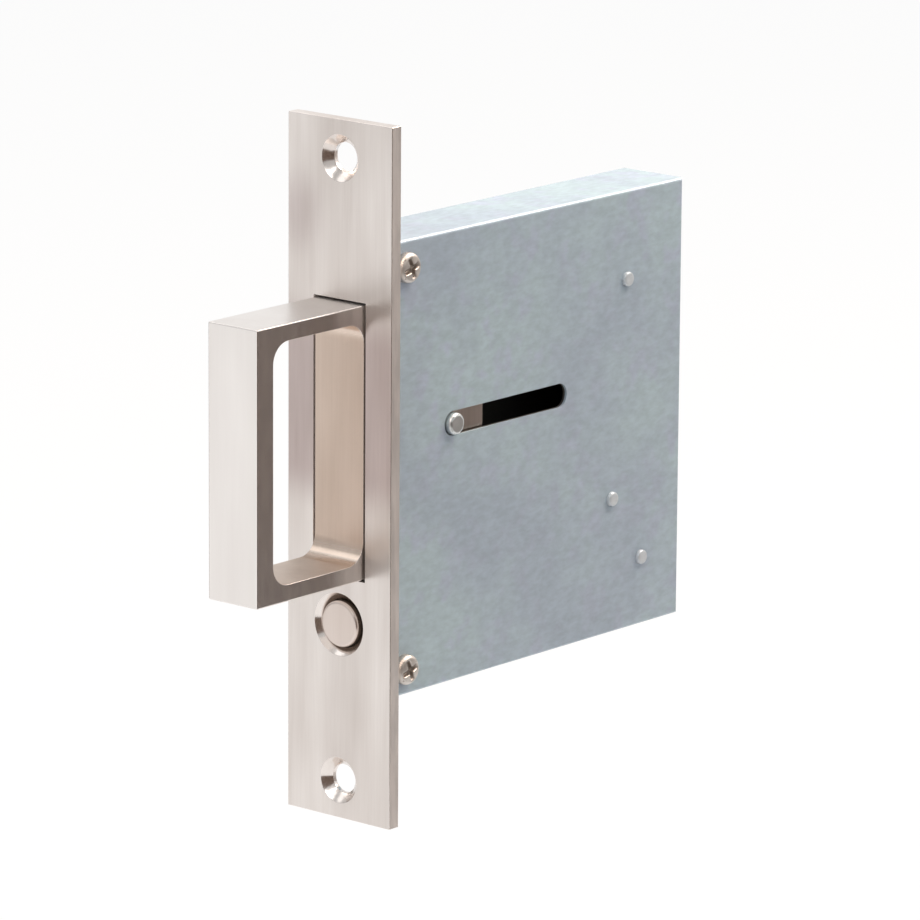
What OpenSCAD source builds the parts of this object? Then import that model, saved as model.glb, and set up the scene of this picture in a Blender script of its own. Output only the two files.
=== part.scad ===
// Edge pull for a cavity sliding door: a loop handle that springs out of a faceplate,
// a round release button below it, and a folded sheet case that holds the works.
// Millimetres. The origin is the centre of the faceplate's back face, +Z is up,
// the faceplate looks along -Y and the case runs back along +Y.

/* [Faceplate] */
// Height of the faceplate
plate_h = 132; // [124:1:150]
// Width of the faceplate
plate_w = 25.2; // [22:0.1:30]
// Thickness of the faceplate
plate_t = 2.5; // [2.2:0.1:4]
// Bevel along the faceplate's front edges
plate_edge = 0.1; // [0.1:0.05:0.8]
// Distance from the end of the faceplate to its fixing hole
fix_inset = 7.2; // [6:0.1:9]
// Diameter of the two fixing holes
fix_d = 5.5; // [4.5:0.1:6.5]
// Diameter of the countersink at the front face
fix_head_d = 8.8; // [7.6:0.1:9.6]

/* [Pull handle] */
// Width of the pull
pull_w = 11.9; // [11:0.1:15]
// Height of the pull
pull_h = 51.7; // [44:0.1:60]
// Reach of the pull in front of the faceplate
pull_out = 29; // [24:0.5:34]
// Height of the pull's centre above the faceplate's centre
pull_z = 6.4; // [3:0.1:9]
// Depth of the bar that the fingers hook behind
front_bar = 4.4; // [3:0.1:7]
// Thickness of the top and bottom arms of the loop
arm_t = 3.2; // [2.5:0.1:6]
// Radius of the finger window's corners
window_r = 4; // [1:0.5:8]
// Bevel along the pull's outer edges
pull_edge = 0.15; // [0.1:0.05:0.8]
// Length of the solid block behind the finger window
block_len = 33.8; // [30:0.1:40]
// Travel past flush that the latch needs
overtravel = 1.8; // [0.5:0.1:2]

/* [Guide pin] */
// Diameter of the guide pin
pin_d = 4.2; // [3:0.1:5]
// Distance from the rear of the block to the guide pin
pin_inset = 10.2; // [8:0.1:12]
// How far each end of the guide pin stands out of the case
pin_proud = 1.3; // [0.5:0.1:2]

/* [Case] */
// Thickness of the galvanised sheet
sheet_t = 1; // [0.8:0.1:1.2]
// Radius inside the folds of the sheet
fold_r = 0.2; // [0.1:0.05:0.4]
// Radius outside the folds of the sheet
fold_outer = 0.7; // [0.4:0.05:1.1]
// Height of the case below the button's axis
case_below = 14.3; // [12:0.1:16]
// Room behind the pushed-in pull, up to the back of the case
rear_room = 26.7; // [24:0.1:32]

/* [Ejector springs] */
// Outside diameter of the ejector springs
spring_od = 6.2; // [5.6:0.1:7]
// Wire diameter of the ejector springs
spring_wire = 0.8; // [0.6:0.1:1]
// Number of turns in an ejector spring
spring_turns = 14; // [10:1:16]
// Distance of each spring from the pull's centre
spring_offset = 11; // [9:0.5:12]
// Metal left between the finger window and the spring bores
bore_wall = 8.4; // [6:0.1:12]

/* [Release button] */
// Diameter of the button
button_d = 8.8; // [7.5:0.1:9.6]
// Diameter of the dished ring around the button
button_ring_d = 12; // [11:0.1:13.5]
// Radius of the button's front edge
button_edge = 0.6; // [0.3:0.1:1]
// Distance from the pull's underside to the button's axis
button_gap = 9.4; // [8.5:0.1:13]
// Travel of the button
stroke = 2.5; // [1.5:0.1:2.8]
// Width of the release bar
bar_w = 4.6; // [3.5:0.1:5]
// Height of the release bar
bar_h = 7.8; // [7:0.1:9]

/* [Latch] */
// Thickness of the latch pawl
pawl_t = 2.5; // [2:0.1:3]
// Radius of the pawl's hub
hub_r = 4.5; // [4:0.1:5]
// Diameter of the pivot
pivot_d = 4; // [3:0.1:4.4]
// Height of the pivot above the pull's underside
pivot_rise = 2.9; // [2:0.1:3.5]
// Height of the pawl's tooth
tooth_h = 2.4; // [1.8:0.1:3]
// Depth of the pawl's arm below the tooth
arm_depth = 2.8; // [2:0.1:4]
// Distance from the rear of the block to the wall that the tooth holds
notch_inset = 5; // [4:0.1:7]
// Length of the latch notch in the pull's underside
notch_len = 4; // [3.5:0.1:6]
// Lead-in bevel at the lower rear edge of the block
lead_in = 3.5; // [2:0.1:4]
// Diameter of the cross pin that works the pawl
cross_d = 3; // [2:0.1:3.4]

/* [Posts and screws] */
// Diameter of the plain spacer post
post_d = 5; // [4:0.1:6]
// Diameter of the reduced ends of the posts and rods
end_d = 2.8; // [2:0.1:3.4]
// How far the reduced ends stand out of the case
end_proud = 0.8; // [0.3:0.05:1.2]
// Bevel at the tip of the reduced ends
end_bevel = 0.25; // [0.1:0.05:0.3]
// Distance of the spacer post behind the pushed-in pull
upper_post_back = 9.8; // [7:0.1:12]
// Height of the spacer post above the pull's centre
upper_post_rise = 19.5; // [18:0.1:24]
// Distance of the release bar's post behind the latch pivot
bar_post_back = 9; // [8.2:0.1:10]
// Distance of the release bar's post below the button's axis
bar_post_drop = 0.8; // [0:0.1:1]
// Diameter of the release bar's post
bar_post_d = 3.6; // [3:0.1:4]
// Diameter of the case screws
screw_d = 3; // [2.5:0.1:3.5]
// Length of the case screws
screw_len = 9; // [6:0.5:11]
// Diameter of the screw heads
screw_head_d = 5.7; // [5:0.1:6.5]
// Height of the screw heads
screw_head_h = 2; // [1.5:0.1:2.6]
// Distance of the screws behind the faceplate
screw_y = 7.4; // [6:0.1:9]
// Distance of the screws from the case's top and bottom
screw_inset = 5.1; // [3.5:0.1:6]

/* [Clearances] */
// Gap around the pull in the faceplate's opening
open_gap = 0.4; // [0.3:0.05:0.6]
// Gap between the pull and each side of the case
side_gap = 0.35; // [0.15:0.05:0.5]
// Gap at the sides and ends of the guide slot
slot_gap = 0.25; // [0.1:0.05:0.3]
// Gap around the button in its hole
button_clear = 0.2; // [0.1:0.05:0.3]
// Gap around each spring, inside and outside
spring_clear = 0.4; // [0.3:0.05:0.6]
// Gap between pieces that slide or lie side by side
slide_gap = 0.2; // [0.15:0.05:0.3]
// Radial gap of pins, posts and screws in their holes
pin_fit = 0.05; // [0.03:0.01:0.1]

/* [Hidden] */
$fn = 64;
eps = 0.01;
// Overshoot of a cut past the face it opens
over = 1;

// Pull: front, window and block
travel = pull_out + overtravel;
pull_front = -plate_t - pull_out;
pull_bottom = pull_z - pull_h / 2;
pull_top = pull_z + pull_h / 2;
window_front = pull_front + front_bar;
window_back = -plate_t;
block_rear = window_back + block_len;
pushed_rear = block_rear + travel;
pin_y = block_rear - pin_inset;
bore_bottom = window_back + bore_wall;

// Case: faces inside and outside
half_inner = pull_w / 2 + side_gap;
half_t = half_inner + sheet_t;
button_z = pull_bottom - button_gap;
half_h = case_below - button_z;
case_d = pushed_rear + rear_room;
inner_h = half_h - sheet_t;
inner_d = case_d - sheet_t;
rear_start = min(case_d - fold_outer, inner_d - fold_r);

// Springs, rods and their bores
rod_d = spring_od - 2 * spring_wire - 2 * spring_clear;
bore_d = spring_od + 2 * spring_clear;
rod_flange_t = 1;
rod_room = 6;
rod_tip = bore_bottom + travel + rod_room;
seat_gap = 0.05;
coil_steps = 12;
wire_sides = 6;

// Latch: pivot, tooth and notch
hub_gap = 1.4;
ride_gap = 0.3;
pivot_y = pushed_rear + hub_gap + hub_r;
pivot_z = pull_bottom + pivot_rise;
notch_wall = block_rear - notch_inset;
tooth_room = 0.4;
notch_depth = tooth_h + tooth_room;
tooth_y = notch_wall + pull_out;
tooth_z = pull_bottom - ride_gap;
tooth_tip = 0.6;
pawl_x0 = 1.3;
pawl_x1 = pawl_x0 + pawl_t;
cross_rise = 2;
cross_z = button_z + cross_rise;
tail_r = pivot_z - cross_z;
tine = 1.5;
tine_reach = 0.1;
arm_root = 1;
fork_half = cross_d / 2 + slide_gap + tine;

// Release bar: ends, slot and the room for its spring
bar_x0 = -bar_w;
bar_x1 = 0;
cross_wall = 1;
cross_x0 = bar_x0 + cross_wall;
bar_top = button_z + bar_h / 2;
bar_bottom = button_z - bar_h / 2;
bar_front = 3;
bar_post_y = pivot_y + bar_post_back;
bar_post_z = button_z - bar_post_drop;
bar_slot_half = bar_post_d / 2 + slide_gap;
bar_end_wall = 2.3;
bar_rear = bar_post_y + bar_slot_half + bar_end_wall;
bar_head_len = 10;
bar_head_half = 3.5;
stem_d = 5;
stem_len = 8;
collar_t = 1.2;
collar_lip = 1.1;
return_od = 5;
return_wire = 0.6;
return_turns = 4;
spigot_len = 2;
bar_mid_x = (bar_x0 + bar_x1) / 2;

// Latch spring: a coil on the long sleeve, one leg to the pawl and one to the back of the case
sleeve_wall = 0.7;
pivot_sleeve_wall = 1;
pivot_sleeve_d = pivot_d + 2 * pivot_sleeve_wall;
torsion_wire = 0.8;
torsion_r = pivot_sleeve_d / 2 + slide_gap + torsion_wire / 2;
torsion_turns = 4;
turn_gap = 0.12;
torsion_pitch = torsion_wire + turn_gap;
leg_gap = 0.25;
leg_set = 0.4;
leg_bend = 2;
leg_x = pawl_x0 - leg_gap - torsion_wire / 2;
tail_x = leg_x - torsion_turns * torsion_pitch;

// Lugs and screws
lug_h = 5;
lug_end = 4;
lug_len = screw_y + lug_end;
screw_z = half_h - screw_inset;
upper_post_y = pushed_rear + upper_post_back;
upper_post_z = pull_z + upper_post_rise;

// A profile drawn in Y and Z, run along X
module along_x(x0, x1) {
    translate([x0, 0, 0]) rotate([90, 0, 90]) linear_extrude(x1 - x0) children();
}

// A profile drawn in X and Z, run along Y
module along_y(y0, y1) {
    translate([0, y1, 0]) rotate([90, 0, 0]) linear_extrude(y1 - y0) children();
}

// A profile drawn in X and Y, run along Z
module along_z(z0, z1) {
    translate([0, 0, z0]) linear_extrude(z1 - z0) children();
}

// A round bar along X
module bar_x(d, x0, x1, y, z) {
    translate([x0, y, z]) rotate([0, 90, 0]) cylinder(d = d, h = x1 - x0);
}

// A round bar along Y
module bar_y(d, y0, y1, x, z) {
    translate([x, y0, z]) rotate([-90, 0, 0]) cylinder(d = d, h = y1 - y0);
}

// A rectangle between two corners
module rect(a0, b0, a1, b1) {
    translate([a0, b0]) square([a1 - a0, b1 - b0]);
}

// A rectangle with cut corners
module bevel_rect(a0, b0, a1, b1, e) {
    polygon([[a0 + e, b0], [a1 - e, b0], [a1, b0 + e], [a1, b1 - e],
        [a1 - e, b1], [a0 + e, b1], [a0, b1 - e], [a0, b0 + e]]);
}

// A rectangle with round corners
module round_rect(a0, b0, a1, b1, r) {
    rect(a0 + r, b0, a1 - r, b1);
    rect(a0, b0 + r, a1, b1 - r);
    for (a = [a0 + r, a1 - r], b = [b0 + r, b1 - r]) translate([a, b]) circle(r);
}

// A block with all twelve edges bevelled
module bevel_block(x0, x1, y0, y1, z0, z1, e) {
    intersection() {
        along_x(x0, x1) bevel_rect(y0, z0, y1, z1, e);
        along_y(y0, y1) bevel_rect(x0, z0, x1, z1, e);
        along_z(z0, z1) bevel_rect(x0, y0, x1, y1, e);
    }
}

// A hollow sleeve along X
module sleeve(d, bore, x0, x1, y, z) {
    difference() {
        bar_x(d, x0, x1, y, z);
        bar_x(bore, x0 - over, x1 + over, y, z);
    }
}

// Reduced end of a post or rod along +Z: through the sheet and a little proud, with a bevelled tip
module reduced_end() {
    straight = sheet_t + end_proud - end_bevel;
    cylinder(d = end_d, h = straight);
    translate([0, 0, straight]) cylinder(d1 = end_d, d2 = end_d - 2 * end_bevel, h = end_bevel);
}

function unit(v) = v / norm(v);

// Closed wire of round section swept along points; axis is a direction that the wire never follows
module wire(path, d, axis) {
    last = len(path) - 1;
    rings = [for (i = [0:last])
        let (t = unit(path[min(i + 1, last)] - path[max(i - 1, 0)]),
            n = unit(cross(t, axis)),
            b = cross(t, n))
        for (k = [0:wire_sides - 1])
            path[i] + d / 2 * (cos(360 * k / wire_sides) * n + sin(360 * k / wire_sides) * b)];
    sides = [for (i = [0:last - 1], k = [0:wire_sides - 1])
        let (m = (k + 1) % wire_sides, p = i * wire_sides, q = p + wire_sides)
        each [[p + k, q + k, q + m], [p + k, q + m, p + m]]];
    ends = [[for (k = [0:wire_sides - 1]) k],
        [for (k = [wire_sides - 1:-1:0]) last * wire_sides + k]];
    polyhedron(rings, concat(sides, ends));
}

// Height up a compression spring after u turns, with its first and last turn closed
function coil_rise(u, turns, length, wire_d) =
    u < 1 ? wire_d * u
    : u > turns - 1 ? length - wire_d * (turns - u)
    : wire_d + (length - 2 * wire_d) * (u - 1) / (turns - 2);

// A compression spring along Y between two seats
module coil_spring(y0, y1, x, z, od, wire_d, turns) {
    coil_r = (od - wire_d) / 2;
    start = y0 + wire_d / 2 + seat_gap;
    length = y1 - y0 - wire_d - 2 * seat_gap;
    path = [for (i = [0:turns * coil_steps])
        let (u = i / coil_steps, a = 360 * u, y = start + coil_rise(u, turns, length, wire_d))
        [x + coil_r * cos(a), y, z + coil_r * sin(a)]];
    wire(path, wire_d, [0, 1, 0]);
}

// A hole through the faceplate at height z, opened by a cone at the front face
module sunk_hole(d, head_d, z) {
    bar_y(d, -2 * plate_t, plate_t, 0, z);
    translate([0, -plate_t, z]) rotate([-90, 0, 0]) cylinder(d1 = head_d, d2 = d, h = (head_d - d) / 2);
}

// Faceplate: opening for the pull, countersunk fixing holes and the dished button hole
module faceplate() {
    hole_z = plate_h / 2 - fix_inset;
    color("#d3c9c3") difference() {
        intersection() {
            bevel_block(-plate_w / 2, plate_w / 2, -plate_t, plate_t, -plate_h / 2, plate_h / 2,
                plate_edge);
            along_z(-plate_h, plate_h) rect(-plate_w, -2 * plate_t, plate_w, 0);
        }
        along_y(-2 * plate_t, plate_t)
            rect(-pull_w / 2 - open_gap, pull_bottom - open_gap, pull_w / 2 + open_gap, pull_top + open_gap);
        for (z = [-hole_z, hole_z]) sunk_hole(fix_d, fix_head_d, z);
        sunk_hole(button_d + 2 * button_clear, button_ring_d, button_z);
    }
}

// Lug welded to the back of the faceplate, tapped for a case screw
module plate_lug(z) {
    color("#a9a29b") difference() {
        bevel_block(-half_inner + slide_gap, half_inner - slide_gap, -pull_edge, lug_len,
            z - lug_h / 2, z + lug_h / 2, pull_edge);
        along_z(-plate_h, plate_h) rect(-plate_w, -plate_t, plate_w, 0);
        bar_x(screw_d + 2 * pin_fit, half_t - screw_len - over, half_t, screw_y, z);
    }
}

// Pull: a loop for the fingers in front, and behind it the block that slides in the case
module pull_handle() {
    color("#cdc2bb") difference() {
        bevel_block(-pull_w / 2, pull_w / 2, pull_front, block_rear, pull_bottom, pull_top, pull_edge);
        along_x(-pull_w, pull_w)
            round_rect(window_front, pull_bottom + arm_t, window_back, pull_top - arm_t, window_r);
        for (side = [-1, 1])
            bar_y(bore_d, bore_bottom, block_rear + over, 0, pull_z + side * spring_offset);
        bar_x(pin_d + 2 * pin_fit, -pull_w, pull_w, pin_y, pull_z);
        along_x(pawl_x0 - 2 * slide_gap, pawl_x1 + 2 * slide_gap)
            rect(notch_wall - notch_len, pull_bottom - over, notch_wall, pull_bottom + notch_depth);
        along_x(-pull_w, pull_w)
            polygon([[block_rear - lead_in, pull_bottom - eps], [block_rear + eps, pull_bottom - eps],
                [block_rear + eps, pull_bottom + lead_in]]);
    }
}

// Guide pin through the block, its bevelled ends running in the case's two slots
module guide_pin() {
    bevel = 0.4;
    reach = half_t + pin_proud;
    color("#c7c9c8") {
        bar_x(pin_d, -reach + bevel, reach - bevel, pin_y, pull_z);
        for (side = [0, 180])
            translate([0, pin_y, pull_z]) rotate([0, 0, side]) translate([reach - bevel, 0, 0])
                rotate([0, 90, 0]) cylinder(d1 = pin_d, d2 = pin_d - 2 * bevel, h = bevel);
    }
}

// Slot for the guide pin, over the pull's whole travel
module guide_slot_profile() {
    slot_r = pin_d / 2 + slot_gap;
    rect(pin_y, pull_z - slot_r, pin_y + travel, pull_z + slot_r);
    for (y = [pin_y, pin_y + travel]) translate([y, pull_z]) circle(slot_r);
}

// Places of the three posts, as [y, z]
post_places = [[upper_post_y, upper_post_z], [pivot_y, pivot_z], [bar_post_y, bar_post_z]];

// Holes through a side of the case
module side_holes(x0, x1) {
    along_x(x0, x1) guide_slot_profile();
    for (place = post_places) bar_x(end_d + 2 * pin_fit, x0, x1, place[0], place[1]);
}

// Section across the tray: a wall at +X with a flange at its top and bottom
module tray_section(reach_x, reach_z, r) {
    left = -half_t - over;
    rect(left, -reach_z, reach_x - r, reach_z);
    rect(left, -reach_z + r, reach_x, reach_z - r);
    for (z = [-1, 1] * (reach_z - r)) translate([reach_x - r, z]) circle(r);
}

// Plan of the tray's outline: square in front, folded at the rear corner
module tray_plan(reach_x, reach_y, r) {
    rect(-half_t, 0, reach_x - r, reach_y);
    rect(-half_t, 0, reach_x, reach_y - r);
    translate([reach_x - r, reach_y - r]) circle(r);
}

// Case tray: one folded sheet with top, bottom and rear flanges
module case_tray() {
    color("#a4abae") difference() {
        union() {
            intersection() {
                along_y(0, case_d) difference() {
                    tray_section(half_t, half_h, fold_outer);
                    tray_section(half_inner, inner_h, fold_r);
                }
                along_z(-half_h, half_h) tray_plan(half_t, case_d, fold_outer);
            }
            along_z(-inner_h + slide_gap, inner_h - slide_gap) difference() {
                tray_plan(half_t, case_d, fold_outer);
                tray_plan(half_inner, inner_d, fold_r);
                rect(-plate_w, -over, plate_w, rear_start);
            }
        }
        side_holes(half_inner - over, half_t + over);
        for (z = [-screw_z, screw_z])
            bar_x(screw_d + 2 * slide_gap, half_inner - over, half_t + over, screw_y, z);
        for (side = [-1, 1])
            bar_y(end_d + 2 * pin_fit, inner_d - over, case_d + over, 0, pull_z + side * spring_offset);
        bar_y(torsion_wire + 2 * slide_gap, inner_d - over, case_d + over, tail_x, pivot_z - torsion_r);
    }
}

// Case cover: a flat sheet dropped between the tray's flanges
module case_cover() {
    reach_z = inner_h - slide_gap;
    color("#9fa6a9") difference() {
        along_x(-half_t, -half_inner) rect(0, -reach_z, inner_d - slide_gap, reach_z);
        side_holes(-half_t - over, -half_inner + over);
    }
}

// Pan-head screw with a cross recess, pointing along -X from the case's side
module case_screw(z) {
    dome_r = 1.2 * screw_head_d;
    recess_w = screw_head_d / 6;
    recess_l = screw_head_d * 0.62;
    recess_h = screw_head_h / 2;
    translate([half_t, screw_y, z]) rotate([0, 90, 0]) {
        translate([0, 0, -screw_len]) cylinder(d = screw_d, h = screw_len);
        difference() {
            intersection() {
                cylinder(d = screw_head_d, h = screw_head_h);
                translate([0, 0, screw_head_h - dome_r]) sphere(dome_r, $fn = 128);
            }
            for (turn = [20, 110]) rotate([0, 0, turn])
                translate([-recess_l / 2, -recess_w / 2, screw_head_h - recess_h])
                    cube([recess_l, recess_w, recess_h + over]);
        }
    }
}

module case_screws() {
    color("#b9b3ad") for (z = [-screw_z, screw_z]) case_screw(z);
}

// Post across the case, its reduced ends pushed through both sides
module case_post(d, y, z) {
    bar_x(d, -half_inner, half_inner, y, z);
    for (turn = [-90, 90])
        translate([sign(turn) * half_inner, y, z]) rotate([0, turn, 0]) reduced_end();
}

module upper_post() {
    color("#b4b6b4") case_post(post_d, upper_post_y, upper_post_z);
}

module pivot_post() {
    color("#b4b6b4") case_post(pivot_d, pivot_y, pivot_z);
}

module bar_post() {
    color("#b4b6b4") case_post(bar_post_d, bar_post_y, bar_post_z);
}

// Sleeves that keep the pawl in its plane
module pivot_sleeves() {
    bore = pivot_d + 2 * pin_fit;
    color("#8e8f8e") {
        sleeve(pivot_sleeve_d, bore, -half_inner, pawl_x0 - slide_gap, pivot_y, pivot_z);
        sleeve(pivot_sleeve_d, bore, pawl_x1 + slide_gap, half_inner, pivot_y, pivot_z);
    }
}

// Sleeves that keep the release bar in its plane
module bar_sleeves() {
    bore = bar_post_d + 2 * pin_fit;
    outside = bore + 2 * sleeve_wall;
    color("#8e8f8e") {
        sleeve(outside, bore, -half_inner, bar_x0 - slide_gap, bar_post_y, bar_post_z);
        sleeve(outside, bore, bar_x1 + slide_gap, half_inner, bar_post_y, bar_post_z);
    }
}

// Ejector spring between the bottom of its bore and the flange of its rod
module ejector_spring(side) {
    color("#8b8d8e")
        coil_spring(bore_bottom, inner_d - rod_flange_t, 0, pull_z + side * spring_offset,
            spring_od, spring_wire, spring_turns);
}

// Rod that keeps an ejector spring straight, its reduced end pushed through the rear flange
module spring_rod(side) {
    z = pull_z + side * spring_offset;
    color("#b4b6b4") {
        bar_y(rod_d, rod_tip, inner_d, 0, z);
        bar_y(spring_od, inner_d - rod_flange_t, inner_d, 0, z);
        translate([0, inner_d, z]) rotate([-90, 0, 0]) reduced_end();
    }
}

// Release button: a cap with a rounded edge, a collar behind the faceplate and a stem
module release_button() {
    button_r = button_d / 2;
    color("#d7c8c0") translate([0, 0, button_z]) rotate([-90, 0, 0]) rotate_extrude() {
        rect(0, -plate_t, button_r - button_edge, slide_gap + collar_t);
        rect(0, -plate_t + button_edge, button_r, slide_gap + collar_t);
        translate([button_r - button_edge, -plate_t + button_edge]) intersection() {
            circle(button_edge);
            rect(-button_edge, -button_edge, button_edge, button_edge);
        }
        rect(0, slide_gap, button_r + collar_lip, slide_gap + collar_t);
        rect(0, 0, stem_d / 2, bar_front + stem_len);
    }
}

// Release bar: a head on the button's stem, and a bar that runs back along the bottom of the case
module release_bar() {
    spring_id = return_od - 2 * return_wire;
    color("#b08d57") difference() {
        union() {
            along_x(-bar_head_half, bar_head_half)
                bevel_rect(bar_front, bar_bottom, bar_front + bar_head_len, bar_top, pull_edge);
            along_x(bar_x0, bar_x1) bevel_rect(bar_front, bar_bottom, bar_rear, bar_top, pull_edge);
            bar_y(spring_id - 2 * slide_gap, bar_rear, bar_rear + spigot_len, bar_mid_x, button_z);
        }
        bar_y(stem_d + 2 * pin_fit, 0, bar_front + stem_len + slide_gap, 0, button_z);
        along_x(bar_x0 - over, bar_x1 + over) {
            rect(bar_post_y - stroke, bar_post_z - bar_slot_half, bar_post_y, bar_post_z + bar_slot_half);
            for (y = [bar_post_y - stroke, bar_post_y]) translate([y, bar_post_z]) circle(bar_slot_half);
        }
        bar_x(cross_d + 2 * pin_fit, cross_x0, bar_x1 + over, pivot_y, cross_z);
    }
}

// Cross pin, fast in the release bar and free in the pawl's fork
module cross_pin() {
    color("#c7c9c8") bar_x(cross_d, cross_x0, pawl_x1 + 2 * slide_gap, pivot_y, cross_z);
}

// Spring that sends the button back, between the release bar and the rear flange
module button_spring() {
    color("#8b8d8e")
        coil_spring(bar_rear, inner_d, bar_mid_x, button_z, return_od, return_wire, return_turns);
}

// Latch pawl: a hub on the pivot, an arm with a ratchet tooth in front and a fork below
module latch_pawl() {
    arm_top = tooth_z - tooth_h;
    arm_bottom = arm_top - arm_depth;
    ramp_y = tooth_y - tooth_tip - tooth_h;
    root_y = pivot_y - hub_r;
    tail_end = cross_z - cross_d / 2 - tine_reach;
    color("#7d8082") difference() {
        along_x(pawl_x0, pawl_x1) difference() {
            union() {
                translate([pivot_y, pivot_z]) circle(hub_r);
                polygon([[pivot_y, pivot_z], [root_y + arm_root, arm_top + arm_root],
                    [root_y - arm_root, arm_top], [tooth_y, arm_top], [tooth_y, tooth_z],
                    [tooth_y - tooth_tip, tooth_z], [ramp_y, arm_top], [ramp_y, arm_bottom + arm_root],
                    [ramp_y + arm_root, arm_bottom], [pivot_y, arm_bottom]]);
                rect(pivot_y - fork_half, tail_end + tine, pivot_y + fork_half, pivot_z);
                for (side = [-1, 1])
                    rect(pivot_y + side * (fork_half - tine / 2) - tine / 2, tail_end,
                        pivot_y + side * (fork_half - tine / 2) + tine / 2, pivot_z - hub_r / 2);
            }
            translate([pivot_y, cross_z]) circle(cross_d / 2 + slide_gap);
            rect(pivot_y - fork_half + tine, tail_end - over, pivot_y + fork_half - tine, cross_z);
        }
        bar_x(pivot_d + 2 * pin_fit, pawl_x0 - over, pawl_x1 + over, pivot_y, pivot_z);
    }
}

// Latch spring: a coil on the long pivot sleeve that lifts the pawl's arm from below
module latch_spring() {
    arm_bottom = tooth_z - tooth_h - arm_depth;
    under_arm = arm_bottom - torsion_wire / 2 - seat_gap;
    low_z = pivot_z - torsion_r;
    steps = torsion_turns * coil_steps;
    rear_leg = [[tail_x, case_d, low_z]];
    coil = [for (i = [0:steps])
        let (u = i / coil_steps, a = 270 - 360 * u)
        [tail_x + u * torsion_pitch, pivot_y + torsion_r * cos(a), pivot_z + torsion_r * sin(a)]];
    front_leg = [[leg_x, pivot_y - hub_r, under_arm + arm_root],
        [leg_x + leg_set, pivot_y - hub_r - leg_bend, under_arm],
        [pawl_x0 + pawl_t / 2, tooth_y, under_arm]];
    color("#8b8d8e") wire(concat(rear_leg, coil, front_leg), torsion_wire, [1, 0, 0]);
}

faceplate();
plate_lug(screw_z);  // upper_lug
plate_lug(-screw_z);  // lower_lug
pull_handle();
guide_pin();
case_tray();
case_cover();
case_screws();
upper_post();
pivot_post();
bar_post();
pivot_sleeves();
bar_sleeves();
ejector_spring(1);  // ejector_spring_upper
ejector_spring(-1);  // ejector_spring_lower
spring_rod(1);  // spring_rod_upper
spring_rod(-1);  // spring_rod_lower
release_button();
release_bar();
cross_pin();
button_spring();
latch_pawl();
latch_spring();
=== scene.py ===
"""Edge pull for a cavity sliding door: finishes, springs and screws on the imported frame, and a studio."""

import math

import bpy
import numpy as np
from mathutils import Matrix, Vector


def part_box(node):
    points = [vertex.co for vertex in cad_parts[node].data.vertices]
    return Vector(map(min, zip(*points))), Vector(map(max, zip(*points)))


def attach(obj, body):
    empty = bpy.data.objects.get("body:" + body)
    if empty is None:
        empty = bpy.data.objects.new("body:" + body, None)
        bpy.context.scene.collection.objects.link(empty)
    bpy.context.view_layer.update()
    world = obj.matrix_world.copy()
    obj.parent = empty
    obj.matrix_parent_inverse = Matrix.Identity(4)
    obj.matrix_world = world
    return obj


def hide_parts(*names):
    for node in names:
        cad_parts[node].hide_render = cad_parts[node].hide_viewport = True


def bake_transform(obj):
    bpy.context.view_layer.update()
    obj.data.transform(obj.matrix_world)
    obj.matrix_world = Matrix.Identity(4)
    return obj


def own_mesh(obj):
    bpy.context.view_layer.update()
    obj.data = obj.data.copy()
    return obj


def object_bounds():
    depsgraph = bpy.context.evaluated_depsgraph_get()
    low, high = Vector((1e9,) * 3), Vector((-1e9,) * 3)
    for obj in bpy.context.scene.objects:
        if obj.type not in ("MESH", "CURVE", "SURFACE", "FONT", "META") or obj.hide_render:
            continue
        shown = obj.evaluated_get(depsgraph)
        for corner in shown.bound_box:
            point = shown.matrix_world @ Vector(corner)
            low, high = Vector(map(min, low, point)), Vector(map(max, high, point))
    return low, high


bl_info = {
    "name": "Edge pull",
    "version": (1, 0, 0),
    "blender": (4, 5, 0),
    "location": "View3D > Sidebar > Edge pull",
    "description": "Dresses the pop-out edge pull of a cavity sliding door and sets up its studio",
    "category": "Object",
}

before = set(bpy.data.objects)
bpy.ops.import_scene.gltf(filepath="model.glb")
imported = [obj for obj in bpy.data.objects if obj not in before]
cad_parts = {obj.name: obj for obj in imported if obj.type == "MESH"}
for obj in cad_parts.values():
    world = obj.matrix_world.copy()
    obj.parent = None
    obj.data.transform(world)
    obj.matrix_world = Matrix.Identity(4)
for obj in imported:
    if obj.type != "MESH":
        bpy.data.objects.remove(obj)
CAD_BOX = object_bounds()
MM = 0.001

# Places that the frame gives, in metres
PLATE_LOW, PLATE_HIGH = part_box("faceplate")
PULL_LOW, PULL_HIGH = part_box("pull_handle")
TRAY_LOW, TRAY_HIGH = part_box("case_tray")
BUTTON_LOW, BUTTON_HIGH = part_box("release_button")
SCREWS_LOW, SCREWS_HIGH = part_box("case_screws")
PIVOT_LOW, PIVOT_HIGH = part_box("pivot_post")

# The loop's walls round the finger window, and the sheet of the case with the hollow inside it
FRONT_BAR = 4.4 * MM
LOOP_ARM = 3.2 * MM
SHEET = 1.0 * MM
INSET = Vector((0.5 * SHEET, 0.98 * SHEET, 0.98 * SHEET))
# Inside this hollow the sheet is painted dark, as painted shade and grease
CASE_HOLLOW = (TRAY_LOW + INSET, TRAY_HIGH - INSET)

# Rounding of the smaller pieces' edges, and how the rounding finds an edge
PIN_EDGE = 0.5 * MM
POST_EDGE = 0.3 * MM
BAR_EDGE = 0.12 * MM
WORKS_EDGE = 0.1 * MM
EDGE_ANGLE = math.radians(38)
EDGE_STEPS = 3
FLAT_ANGLE = math.radians(0.5)
WELD_GAP = 0.0005 * MM

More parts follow.
